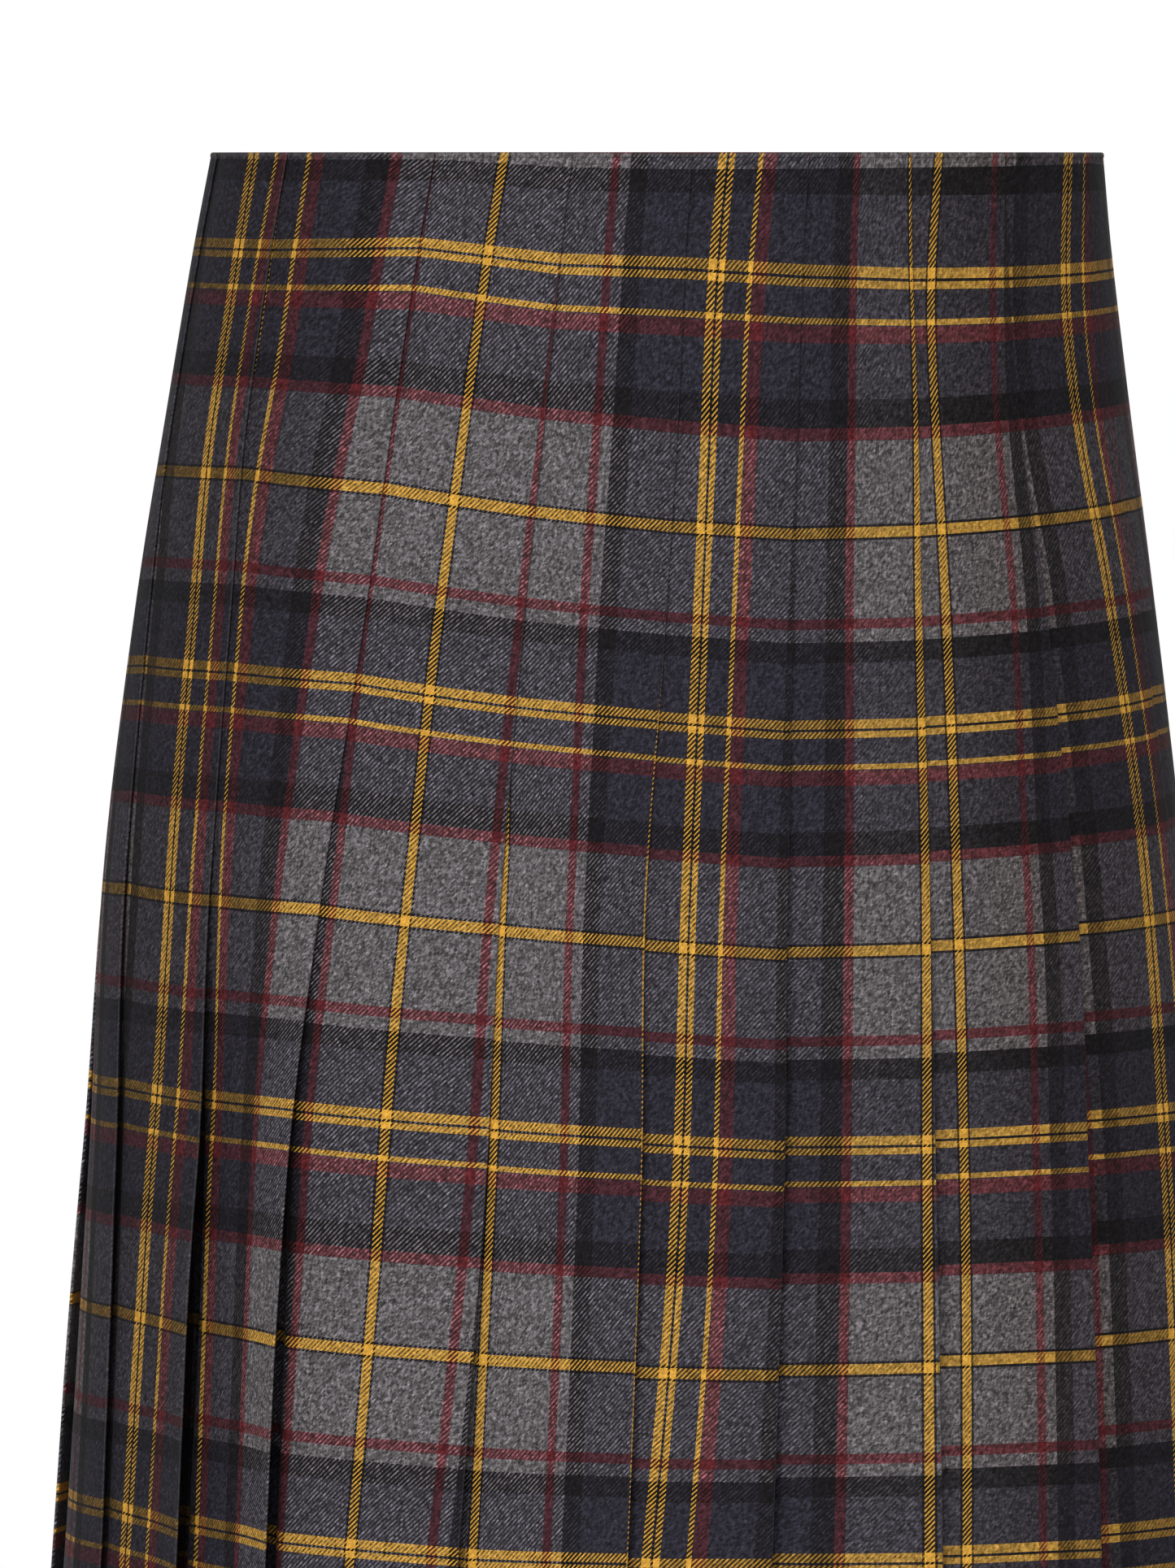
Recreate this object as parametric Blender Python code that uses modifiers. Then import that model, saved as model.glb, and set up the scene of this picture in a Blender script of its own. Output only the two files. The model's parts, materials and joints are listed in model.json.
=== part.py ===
"""Pleated midi skirt, worn shape with no wearer, knife pleats all round.

Metres, +Z up. The origin is the middle of the waist, the front faces -Y and
the skirt hangs down -Z. Each cloth panel is one wall that runs through every
pleat: face, fold, underlay, fold, next face.
"""
from math import cos, pi, radians, sin, sqrt

import bmesh
import bpy
from mathutils import Matrix, Vector

# Cloth
LENGTH = 0.70                # waist to hem
WALL = 0.0010                # cloth thickness of the solids
LAYER = 0.0014               # from the middle of one layer to the next
SEAM_GAP = 0.0003            # between two panels at a seam
WAIST_TILT = 0.070           # the waist drops towards the front

# The body of the skirt, a row for each section from waist to hem
SECTION_COLUMNS = ("drop", "half_width", "half_depth", "centre_x", "centre_y", "tuck")
SECTION_ROWS = (
    (0.00, 0.1246, 0.0940, 0.0000, 0.000, 0.85),
    (0.03, 0.1288, 0.0985, -0.0015, 0.002, 0.84),
    (0.07, 0.1345, 0.1045, -0.0025, 0.004, 0.82),
    (0.13, 0.1432, 0.1120, -0.0035, 0.006, 0.80),
    (0.21, 0.1525, 0.1180, -0.0040, 0.008, 0.75),
    (0.29, 0.1580, 0.1210, -0.0025, 0.007, 0.70),
    (0.40, 0.1655, 0.1260, -0.0020, 0.005, 0.63),
    (0.55, 0.1755, 0.1340, -0.0020, 0.002, 0.56),
    (LENGTH, 0.1855, 0.1430, -0.0020, 0.000, 0.50),
)

# Where each fold edge of the front lies: degrees round from the centre front at
# five drops, how far it stands open below its stitching, and where that ends
EDGE_DROPS = (0.00, 0.13, 0.21, 0.29, 0.40)
EDGE_COLUMNS = ("name", "turns", "open", "stitched")
FRONT_EDGES = (
    ("side_right", (-79.0, -73.0, -72.0, -70.5, -67.5), 0.0045, 0.17),
    ("right_hip", (-56.0, -52.5, -51.5, -51.0, -51.0), 0.0090, 0.18),
    ("right_thigh", (-29.5, -32.0, -35.0, -38.0, -38.5), 0.0080, 0.20),
    ("right_front", (-11.0, -13.0, -15.0, -16.0, -17.5), 0.0035, 0.24),
    ("centre_front", (4.0, 2.0, 0.0, -0.5, -1.5), 0.0015, 0.26),
    ("left_front", (19.0, 16.0, 14.5, 13.0, 11.5), 0.0015, 0.26),
    ("left_thigh", (33.0, 31.5, 30.5, 29.0, 28.0), 0.0025, 0.24),
    ("left_hip", (49.5, 50.0, 50.5, 50.0, 48.5), 0.0050, 0.16),
    ("side_left", (73.5, 73.5, 76.5, 77.0, 75.5), 0.0050, 0.18),
)
BACK_EDGES = 9
BACK_OPEN = 0.0030
BACK_STITCHED = 0.20
OPENING_RUN = 0.16           # the drop over which a pleat comes fully open
FOLD_STEPS = 3               # stations along each overlap

# The closure, in the seam behind the wearer's left hip
ZIP_EDGE = 1                 # the seam follows this fold edge of the back
ZIP_TUCK = 0.45              # the shallower pleat beside the zip
SEAM_PLACE = 0.5             # along the open stretch of a face
ZIP_LENGTH = 0.190
TAPE_WIDTH = 0.0070
TAPE_WALL = 0.0010
TAPE_CLEARANCE = 0.0009
TAPE_FROM_SEAM = 0.0010
SLIT = 0.0015                # the seam parts this far round the slider
SLIT_END = 0.03
CLEARANCE = 0.0003
SLIDER_DROP = 0.016
SLIDER_PLATE = (0.0046, 0.0080, 0.0009)
SLIDER_NECK = (0.0007, 0.0050)
BAIL_RADIUS = 0.0004
BAIL_SPAN = 0.0032           # along the zip, between the middles of its legs
PULL_LENGTH = 0.0210
PULL_HALF_WIDTHS = (0.0016, 0.0028)
PULL_THICK = 0.0008
PULL_BAR = 0.00045           # radius of the pull's cross bar, which is its hinge
PULL_SLOT = (0.0016, 0.0027)

CLOTH_COLOUR = (0.055, 0.053, 0.066, 1.0)
METAL_COLOUR = (0.32, 0.31, 0.30, 1.0)
TAPE_COLOUR = (0.018, 0.018, 0.024, 1.0)


def rows(columns, table):
    """A table's rows as dictionaries of its named columns."""
    return [dict(zip(columns, row)) for row in table]


SECTIONS = rows(SECTION_COLUMNS, SECTION_ROWS)


def smooth(value):
    """A soft step from 0 to 1."""
    value = min(max(value, 0.0), 1.0)
    return value * value * (3.0 - 2.0 * value)


def between(places, values, place):
    """The value at a place, straight between the named ones."""
    if place >= places[-1]:
        return values[-1]
    for low, high, first, last in zip(places, places[1:], values, values[1:]):
        if place <= high:
            return first + (last - first) * (place - low) / (high - low)
    return values[-1]


def section(drop):
    """The skirt's section at a drop below the waist."""
    drops = [row["drop"] for row in SECTIONS]
    return {name: between(drops, [row[name] for row in SECTIONS], drop)
            for name in SECTION_COLUMNS}


def fold_edges(drop):
    """Every fold edge at a drop, from the wearer's right side round to it again."""
    edges = []
    for row in rows(EDGE_COLUMNS, FRONT_EDGES):
        edges.append({"turn": radians(between(EDGE_DROPS, row["turns"], drop)),
                      "open": row["open"], "stitched": row["stitched"]})
    first, last = edges[0]["turn"], edges[-1]["turn"]
    step = (first + 2.0 * pi - last) / (BACK_EDGES + 1)
    for place in range(1, BACK_EDGES + 1):
        edges.append({"turn": last + step * place, "open": BACK_OPEN,
                      "stitched": BACK_STITCHED})
    return edges


def speed(ring, turn):
    """Metres along the section for each radian of turn."""
    return sqrt((ring["half_width"] * cos(turn)) ** 2 + (ring["half_depth"] * sin(turn)) ** 2)


def cloth_point(ring, turn, out):
    """A point of the cloth, out from the section along its normal."""
    normal = Vector((sin(turn) / ring["half_width"], -cos(turn) / ring["half_depth"]))
    normal.normalize()
    x = ring["centre_x"] + ring["half_width"] * sin(turn) + out * normal.x
    y = ring["centre_y"] - ring["half_depth"] * cos(turn) + out * normal.y
    tilt = WAIST_TILT * (1.0 - ring["drop"] / LENGTH)
    return Vector((x, y, tilt * y - ring["drop"]))


def pleats(drop):
    """The overlap under each fold edge: where it starts and ends, and its lift."""
    ring = section(drop)
    edges = fold_edges(drop)
    found = []
    for place, edge in enumerate(edges):
        before = edges[place - 1]["turn"] - (2.0 * pi if place == 0 else 0.0)
        share = ring["tuck"]
        if place == len(FRONT_EDGES) + ZIP_EDGE:
            share = min(share, ZIP_TUCK)
        start = edge["turn"] - share * (edge["turn"] - before)
        lift = edge["open"] * smooth((drop - edge["stitched"]) / OPENING_RUN)
        found.append({"start": start, "end": edge["turn"], "lean": 2.0 * LAYER * share,
                      "lift": lift})
    return found


def overlap(pleat, layer):
    """Stations of one layer through an overlap: 0 the face below, 1 the return, 2 the top."""
    stations = []
    for step in range(FOLD_STEPS + 1):
        share = step / FOLD_STEPS
        out = layer * LAYER + pleat["lean"] * share
        if layer > 0:
            out += pleat["lift"] * share * share
        stations.append((pleat["start"] + (pleat["end"] - pleat["start"]) * share, out))
    return stations


def seam_place(left, right):
    """The seam's station on the open stretch of the face between two pleats."""
    turn = left["end"] + (right["start"] - left["end"]) * SEAM_PLACE
    out = left["lean"] + (2.0 * LAYER - left["lean"]) * SEAM_PLACE
    return turn, out


def seams(drop):
    """The two side seams' stations at a drop, the wearer's right one first."""
    around = pleats(drop)
    zip_after = len(FRONT_EDGES) + ZIP_EDGE - 1
    last = dict(around[-1])
    last["end"] -= 2.0 * pi
    return seam_place(last, around[0]), seam_place(around[zip_after], around[zip_after + 1])


def slit(drop):
    """Half the gap between the panels at the zip."""
    return between((SLIT_END, 0.07), (SLIT / 2.0, SEAM_GAP / 2.0), drop) \
        if drop > SLIT_END else SLIT / 2.0


def panel_path(drop, first, last):
    """Stations of a panel's cloth from its first pleat to its last, seam to seam."""
    ring = section(drop)
    around = pleats(drop)
    right_seam, zip_seam = seams(drop)
    if first == 0:
        start, end = right_seam, zip_seam
        start_gap, end_gap = SEAM_GAP / 2.0, slit(drop)
    else:
        start, end = zip_seam, (right_seam[0] + 2.0 * pi, right_seam[1])
        start_gap, end_gap = slit(drop), SEAM_GAP / 2.0
    path = [(start[0] + start_gap / speed(ring, start[0]), start[1])]
    for pleat in around[first:last]:
        path += overlap(pleat, 2)
        path += reversed(overlap(pleat, 1))
        path += overlap(pleat, 0)
    path.append((end[0] - end_gap / speed(ring, end[0]), end[1]))
    return ring, path


def material(name, colour, roughness, metallic):
    """A Principled material."""
    made = bpy.data.materials.new(name)
    made.use_nodes = True
    shader = made.node_tree.nodes["Principled BSDF"]
    shader.inputs["Base Color"].default_value = colour
    shader.inputs["Roughness"].default_value = roughness
    shader.inputs["Metallic"].default_value = metallic
    return made


def sheet_object(name, lines, wall, finish, home):
    """A lofted open sheet through lines of points, thickened to a wall."""
    across = len(lines[0])
    points = [point for line in lines for point in line]
    faces = []
    for down in range(len(lines) - 1):
        for place in range(across - 1):
            corner = down * across + place
            faces.append((corner, corner + across, corner + across + 1, corner + 1))
    mesh = bpy.data.meshes.new(name)
    mesh.from_pydata(points, [], faces)
    mesh.materials.append(finish)
    made = bpy.data.objects.new(name, mesh)
    home.objects.link(made)
    thick = made.modifiers.new("cloth", "SOLIDIFY")
    thick.thickness = wall
    thick.offset = 0.0
    thick.use_even_offset = True
    return made


def cloth_panel(name, first, last, finish, home):
    """One pleated panel, a wall through the sections' drops."""
    lines = []
    for row in SECTIONS:
        ring, path = panel_path(row["drop"], first, last)
        lines.append([cloth_point(ring, turn, out) for turn, out in path])
    return sheet_object(name, lines, WALL, finish, home)


def zip_tape(name, side, finish, home):
    """The tape sewn behind one edge of the slit, moved in from the panel's face."""
    inward = (WALL + TAPE_WALL) / 2.0 + TAPE_CLEARANCE
    drops = [row["drop"] for row in SECTIONS if 0.0 < row["drop"] < ZIP_LENGTH]
    lines = []
    for drop in [0.002] + drops + [ZIP_LENGTH]:
        ring = section(drop)
        turn, out = seams(drop)[1]
        line = []
        for place in (TAPE_FROM_SEAM, TAPE_FROM_SEAM + TAPE_WIDTH):
            line.append(cloth_point(ring, turn + side * place / speed(ring, turn), out - inward))
        lines.append(line if side > 0 else line[::-1])
    return sheet_object(name, lines, TAPE_WALL, finish, home)


def seam_frame():
    """The slider's place on the zip: X along the cloth, Y in, Z up the cloth."""
    def on_seam(drop, aside):
        ring = section(drop)
        turn, out = seams(drop)[1]
        return cloth_point(ring, turn + aside / speed(ring, turn), out)

    reach = 0.003
    middle = on_seam(SLIDER_DROP, 0.0)
    up = (on_seam(SLIDER_DROP - reach, 0.0) - on_seam(SLIDER_DROP + reach, 0.0)).normalized()
    along = (on_seam(SLIDER_DROP, reach) - on_seam(SLIDER_DROP, -reach)).normalized()
    inward = up.cross(along).normalized()
    along = inward.cross(up).normalized()
    frame = Matrix((along, inward, up)).transposed().to_4x4()
    frame.translation = middle
    return frame


def box(name, size, place, finish, home):
    """A box at a place in the slider's own frame."""
    bpy.ops.mesh.primitive_cube_add(size=1.0)
    made = bpy.context.object
    made.name = name
    made.data.transform(Matrix.Diagonal((*size, 1.0)))
    made.data.transform(Matrix.Translation(place))
    made.data.materials.append(finish)
    move_to(made, home)
    return made


def move_to(made, home):
    """Put an object in one collection only."""
    for other in made.users_collection:
        other.objects.unlink(made)
    home.objects.link(made)


def boolean(made, other, operation):
    """A Boolean with another object, which is then only a guide."""
    step = made.modifiers.new(other.name, "BOOLEAN")
    step.operation = operation
    step.object = other
    other.hide_render = True
    other.display_type = "WIRE"


def plate_face():
    """From the middle of the cloth out to the outer face of the slider's plate."""
    return WALL / 2.0 + CLEARANCE + SLIDER_PLATE[2]


def hinge_out():
    """From the middle of the cloth out to the middle of the pull's cross bar."""
    return plate_face() + CLEARANCE + PULL_BAR


def mesh_of_curve(curve, name, home):
    """A mesh object of a curve's solid, its caps welded."""
    drawn = bpy.data.objects.new(name + "_curve", curve)
    home.objects.link(drawn)
    bpy.context.view_layer.update()
    shape = drawn.evaluated_get(bpy.context.evaluated_depsgraph_get())
    mesh = bpy.data.meshes.new_from_object(shape)
    mesh.name = name
    bpy.data.objects.remove(drawn)
    form = bmesh.new()
    form.from_mesh(mesh)
    bmesh.ops.remove_doubles(form, verts=form.verts, dist=0.00001)
    form.to_mesh(mesh)
    form.free()
    made = bpy.data.objects.new(name, mesh)
    home.objects.link(made)
    return made


def bail(finish, home):
    """The arch of wire on the slider that traps the pull's cross bar."""
    root = -(plate_face() - SLIDER_PLATE[2] / 2.0)
    out = -(hinge_out() + PULL_BAR + CLEARANCE + BAIL_RADIUS)
    half = BAIL_SPAN / 2.0
    curve = bpy.data.curves.new("slider_bail", "CURVE")
    curve.dimensions = "3D"
    curve.bevel_depth = BAIL_RADIUS
    curve.bevel_resolution = 2
    curve.use_fill_caps = True
    places = [(0.0, root, -half), (0.0, out, -half), (0.0, out, half), (0.0, root, half)]
    spline = curve.splines.new("POLY")
    spline.points.add(len(places) - 1)
    for point, place in zip(spline.points, places):
        point.co = (*place, 1.0)
    made = mesh_of_curve(curve, "slider_bail", home)
    made.data.materials.append(finish)
    return made


def slider(frame, finish, home, tools):
    """The zip's slider: a plate on each side of the cloth, the neck and the bail."""
    width, height, thick = SLIDER_PLATE
    outer = plate_face() - thick / 2.0
    inner = WALL / 2.0 + TAPE_CLEARANCE + TAPE_WALL + CLEARANCE + thick / 2.0
    made = box("zip_slider", (width, thick, height), (0.0, -outer, 0.0), finish, home)
    inside = box("slider_inner_plate", (width, thick, height), (0.0, inner, 0.0), finish, tools)
    neck = box("slider_neck", (SLIDER_NECK[0], outer + inner, SLIDER_NECK[1]),
               (0.0, (inner - outer) / 2.0, 0.0), finish, tools)
    parts = [neck, inside, bail(finish, tools)]
    made.matrix_world = frame
    for piece in parts:
        piece.matrix_world = frame
        boolean(made, piece, "UNION")
    return made


def pull(frame, finish, home, tools):
    """The long pull, its cross bar trapped under the bail, its origin on the hinge."""
    hinge = frame @ Matrix.Translation((0.0, -hinge_out(), 0.0))
    top, low = PULL_HALF_WIDTHS
    drop = PULL_LENGTH - low
    turns = 10
    points = [(-top, 0.0)]
    points += [(low * cos(pi + pi * step / turns), -drop + low * sin(pi + pi * step / turns))
               for step in range(turns + 1)]
    points.append((top, 0.0))
    outline = bpy.data.curves.new("pull_outline", "CURVE")
    outline.dimensions = "2D"
    outline.fill_mode = "BOTH"
    outline.extrude = PULL_THICK / 2.0
    spline = outline.splines.new("POLY")
    spline.points.add(len(points) - 1)
    for point, (x, z) in zip(spline.points, points):
        point.co = (x, z, 0.0, 1.0)
    spline.use_cyclic_u = True
    made = mesh_of_curve(outline, "zip_pull", home)
    made.data.transform(Matrix.Rotation(radians(90.0), 4, "X"))
    made.data.materials.append(finish)
    slot_width, slot_height = PULL_SLOT
    slot = box("pull_slot", (slot_width, 4.0 * PULL_THICK, slot_height),
               (0.0, 0.0, -(PULL_BAR * 0.5 + slot_height / 2.0)), finish, tools)
    bpy.ops.mesh.primitive_cylinder_add(vertices=16, radius=PULL_BAR, depth=2.0 * top)
    bar = bpy.context.object
    bar.name = "pull_bar"
    bar.data.transform(Matrix.Rotation(radians(90.0), 4, "Y"))
    move_to(bar, tools)
    made.matrix_world = hinge
    for piece, operation in ((slot, "DIFFERENCE"), (bar, "UNION")):
        piece.matrix_world = hinge
        boolean(made, piece, operation)
    return made


def build():
    """The whole skirt."""
    for old in list(bpy.data.objects):
        bpy.data.objects.remove(old)
    skirt = bpy.data.collections.new("pleated_skirt")
    tools = bpy.data.collections.new("zip_cutters")
    for group in (skirt, tools):
        bpy.context.scene.collection.children.link(group)
    cloth = material("pleated_wool", CLOTH_COLOUR, 0.9, 0.0)
    metal = material("zip_metal", METAL_COLOUR, 0.35, 1.0)
    tape = material("zip_tape", TAPE_COLOUR, 0.85, 0.0)
    split = len(FRONT_EDGES) + ZIP_EDGE
    cloth_panel("front_panel", 0, split, cloth, skirt)
    cloth_panel("back_panel", split, len(FRONT_EDGES) + BACK_EDGES, cloth, skirt)
    zip_tape("zip_tape_front", -1, tape, skirt)
    zip_tape("zip_tape_back", 1, tape, skirt)
    frame = seam_frame()
    slider(frame, metal, skirt, tools)
    pull(frame, metal, skirt, tools)


build()
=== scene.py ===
"""Looks of the pleated tartan skirt: woven cloth on its pleats, zip and studio."""
import json
from math import cos, degrees, hypot, pi, radians, sin

import bpy
from bpy.props import FloatProperty, FloatVectorProperty, IntProperty, PointerProperty
from bpy.types import Operator, Panel, PropertyGroup
from mathutils import Matrix, Vector


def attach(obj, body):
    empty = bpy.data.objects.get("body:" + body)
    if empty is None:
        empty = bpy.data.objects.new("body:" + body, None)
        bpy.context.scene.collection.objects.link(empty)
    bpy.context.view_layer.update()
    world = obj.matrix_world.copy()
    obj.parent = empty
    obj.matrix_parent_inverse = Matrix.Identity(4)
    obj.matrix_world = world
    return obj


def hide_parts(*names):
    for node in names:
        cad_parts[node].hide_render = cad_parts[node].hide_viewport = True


bl_info = {
    "name": "Pleated Tartan Skirt",
    "version": (1, 0, 0),
    "blender": (4, 5, 0),
    "location": "3D View > Sidebar > Skirt",
    "description": "Dresses a knife pleated skirt in woven tartan, with its zip and studio",
    "category": "Object",
}

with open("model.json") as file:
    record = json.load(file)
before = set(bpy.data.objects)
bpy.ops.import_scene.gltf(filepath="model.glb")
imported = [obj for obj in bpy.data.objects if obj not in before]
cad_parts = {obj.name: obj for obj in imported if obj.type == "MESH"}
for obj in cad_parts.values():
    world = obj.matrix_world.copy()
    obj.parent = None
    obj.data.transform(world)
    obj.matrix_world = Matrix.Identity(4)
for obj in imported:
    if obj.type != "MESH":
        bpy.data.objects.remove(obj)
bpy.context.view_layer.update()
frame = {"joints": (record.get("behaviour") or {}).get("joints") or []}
TURN = 2.0 * pi
QUARTER = pi / 2.0

# The skirt's own sizes, in metres, as its solids have them
LENGTH = 0.7
WAIST_TILT = 0.07
SECTION = {
    "drop": (0, 0.03, 0.07, 0.13, 0.21, 0.29, 0.4, 0.55, LENGTH),
    "half_width": (0.1246, 0.1288, 0.1345, 0.1432, 0.1525, 0.158, 0.1655, 0.1755, 0.1855),
    "half_depth": (0.094, 0.0985, 0.1045, 0.112, 0.118, 0.121, 0.126, 0.134, 0.143),
    "centre_x": (0, -0.0015, -0.0025, -0.0035, -0.004, -0.0025, -0.002, -0.002, -0.002),
    "centre_y": (0, 0.002, 0.004, 0.006, 0.008, 0.007, 0.005, 0.002, 0),
    "tuck": (0.85, 0.84, 0.82, 0.8, 0.75, 0.7, 0.63, 0.56, 0.5),
}

# The front's fold edges from the wearer's right round to the left: degrees from the centre
# front at six drops, how far each stands open, the drop where its stitching ends, how deep
# the next face dips beside it, how far that first runs on under the edge, the run of the
# dip, and the step of the weft across the edge low down, in millimetres
EDGE_DROPS = (0, 0.07, 0.13, 0.21, 0.29, 0.4)
EDGE_COLUMNS = ("name", "turns", "open", "stitched", "sink", "under", "run", "step")
FRONT_EDGES = (
    ("side_right", (-79, -79, -75, -71, -68.5, -66), 0.002, 0.15, 0.001, 0, 0.003, 0),
    ("right_hip", (-55, -55, -53, -51.5, -49.5, -49), 0.009, 0.18, 0.01, 0.0045, 0.004, 0),
    ("right_thigh", (-29.5, -31.2, -32.5, -35.5, -38, -38), 0.008, 0.2, 0.007, 0.001, 0.006, 1),
    ("right_front", (-11, -12.2, -13.5, -15, -16.5, -18.5), 0.0035, 0.24, 0.002, -0.003, 0.006,
     0.8),
    ("centre_front", (4, 3.2, 2, 0, -1, -2.5), 0.0022, 0.18, 0.0012, -0.003, 0.006, 1.7),
    ("left_front", (19, 17.3, 16, 14.5, 13, 11), 0.0026, 0.13, 0.0018, -0.005, 0.008, -1.1),
    ("left_thigh", (33.4, 32.7, 31.5, 30.5, 29, 28), 0.003, 0.17, 0.0018, -0.005, 0.008, -1.4),
    ("left_hip", (49.5, 48.4, 50, 50.5, 48, 46.5), 0.005, 0.16, 0.001, -0.003, 0.006, -3.2),
    ("side_left", (73.5, 70.5, 73.5, 76, 72.5, 70), 0.005, 0.18, 0.001, -0.003, 0.006, -1),
)
EDGES = [dict(zip(EDGE_COLUMNS, row)) for row in FRONT_EDGES]
BACK_EDGES = 9
BACK_FORM = {"open": 0.003, "stitched": 0.2, "sink": 0.0012, "under": -0.003, "run": 0.006,
             "step": 0}
OPENING_RUN = 0.16
FOLD_RUN = 0.003  # cloth past a fold edge that keeps its true threads
UNDER_RUN = 0.014  # and before the next face
OPEN_SHARES = (0.0, 0.04, 0.09, 0.15, 0.23, 0.33, 0.46, 0.62, 0.8, 1.0)
LAPPED_SHARES = (0.14, 0.28, 0.42, 0.56, 0.69, 0.8, 0.89, 0.95, 0.985)
UNDER_SHARES = (1.0, 0.8, 0.62, 0.5, 0.4, 0.3, 0.2, 0.1, 0.0)
# Towards the sides the twill evens out, dulled by painted shade, where the warp lies on top
# on the wearer's right (below 0) and the weft on the left (above 0), by degrees as above
SIDED_TURNS = (-120, -95, -54, -35, -14, 0, 22, 31, 42, 60, 95, 120)
SIDED_SHARES = (0, -0.75, -0.75, 0, 0, 0.16, 0.26, 0.4, 0.9, 1, 1, 0)
FRONT_FACES = len(FRONT_EDGES)
ZIP_FACE = FRONT_FACES + 1  # the front panel has its left half
PANELS = (("front", 0, ZIP_FACE), ("back", ZIP_FACE, FRONT_FACES + BACK_EDGES))
ZIP_TUCK = 0.45
ZIP_FADE = 0.06  # below the zip its face comes back out over this run
BELLY_RUN = 0.35
SEAM_PLACE = 0.5
SEAM_ROLL = ((0.0, 0.0011), (0.0, 0.0006), (0.00012, 0.00025))

# The warp threads at the left and right of the front's faces at six drops. Every pleat adds
# a whole sett to them
WARP_DROPS = (0, 0.05, 0.13, 0.21, 0.3, 0.4)
FRONT_WARP = (
    ("side_back", (-133,) * 6, (-7,) * 6),
    ("side_right", (-48, -53, -64, -66, -33, -18), (46, 54, 58, 58, 67, 80)),
    ("right_hip", (15, 13, 26, 25, 42, 40), (132, 134, 147, 152, 163, 166)),
    ("right_thigh", (110, 107, 107, 95, 100, 111), (236, 244, 249, 254, 258, 268)),
    ("right_front", (204, 200, 192, 174, 170, 165), (316, 317, 319, 321, 320, 320)),
    ("centre_front", (297, 300, 296, 289, 295, 310), (397, 403, 409, 414, 414, 419)),
    ("left_front", (368, 372, 374, 374, 374, 376), (495, 496, 499, 500, 504, 506)),
    ("left_thigh", (463, 477, 472, 469, 465, 470), (580, 590, 605, 621, 618, 620)),
    ("left_hip", (566, 575, 570, 568, 552, 550), (690, 706, 701, 701, 698, 700)),
    ("side_left", (679,) * 6, (800,) * 6),
)
# By how many threads the middle of the face at the right side lags
SIDE_LAG = (7, 14, 10, 4, 0, 0)
BACK_WARP_STEP = 83
BACK_WARP_WIDTH = 126

# How far the weft hangs below a level line, in millimetres, at the front's fold edges
# and at three places of the back
DIP_DROPS = (0, 0.03, 0.05, 0.1, 0.16, 0.22, 0.28, 0.34, 0.4, 0.55, LENGTH)
FRONT_DIPS = (
    ("side_right", (24.3, 24.3, 24.4, 24.7, 22.9, 23.2, 22.4, 22.2, 20.5, 22, 24)),
    ("right_hip", (24.6, 24.6, 24.7, 24.5, 23.2, 24.3, 23.3, 23.4, 22, 22.5, 24)),
    ("right_thigh", (24.6, 23.8, 25.8, 28, 25.2, 25.6, 24.5, 25.4, 24, 23.5, 24)),
    ("right_front", (26.6, 28.4, 30.6, 34.2, 31.2, 30, 28, 28.3, 26.3, 24, 24)),
    ("centre_front", (27, 29.4, 32.3, 38.3, 35.2, 33.7, 31.2, 31, 27.7, 24.5, 24)),
    ("left_front", (26.5, 31.2, 34.1, 40.6, 38.3, 36.8, 33.6, 32.2, 28, 24.5, 24)),
    ("left_thigh", (26, 32.2, 34.6, 40, 37.8, 36, 32.8, 31, 27.6, 24.5, 24)),
    ("left_hip", (25.7, 32.1, 34, 38, 35.6, 33.4, 30.3, 29, 25.8, 24, 24)),
    ("side_left", (25, 31, 32.2, 35, 32.3, 31, 28.3, 27, 24, 24, 24)),
)
BACK_DIPS = (
    ("back_left", 0.3, (28, 28, 28.8, 31, 30, 29, 27, 26, 24.5, 24, 24)),
    ("back_middle", 0.55, (27, 27, 28.6, 33, 33, 31, 28.5, 27, 25.5, 24, 24)),
    ("back_right", 0.8, (25, 25, 25.7, 28, 27, 26, 25, 24, 23, 23.5, 24)),
)
STEP_DROPS = (0.1, 0.34)  # between which the weft's steps grow

# The sett, a whole repeat in threads from left to right and from the waist down
SETT = (
    ("gold", 7), ("black", 2), ("gold", 5), ("navy", 20), ("gold", 4), ("maroon", 12),
    ("navy", 34), ("black", 19), ("maroon", 8), ("grey", 59), ("black", 2), ("gold", 8),
    ("black", 2), ("grey", 60), ("maroon", 8), ("grey", 9), ("black", 17), ("navy", 44),
)
SETT_THREADS = sum(count for yarn, count in SETT)
NARROW = 9  # a stripe of fewer threads lies over the wide ones' ramp
# How strongly each yarn is flecked with lighter and darker fibres
FLECKED = {"gold": 0.15, "black": 0.8, "navy": 0.8, "maroon": 0.6, "grey": 1.0}
# Crossing yarns mix as this root of their colours, because a dark one shades the other
ROOT = 4.0

# The turned edge at the waist in section: 1 at the face and 0 inside all the layers, then
# how far out and up from there, and how strong the painted highlight on its fold is
WAIST_ROWS = (
    (1, 0.0001, -0.0012, 0),
    (1, 0.0003, -0.0008, 0.3),
    (1, 0.0003, -0.0003, 0.6),
    (1, 0.0001, 0.0001, 0.6),
    (0.9, 0, 0.0002, 0.4),
    (0.5, 0, 0.0002, 0.2),
    (0.1, 0, 0.0002, 0),
    (0, -0.0001, 0.0001, 0),
    (0, -0.0003, -0.0002, 0),
    (0, -0.0003, -0.006, 0),
)
WAIST_LAP = 0.003  # cloth that lies over the edge itself

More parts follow.
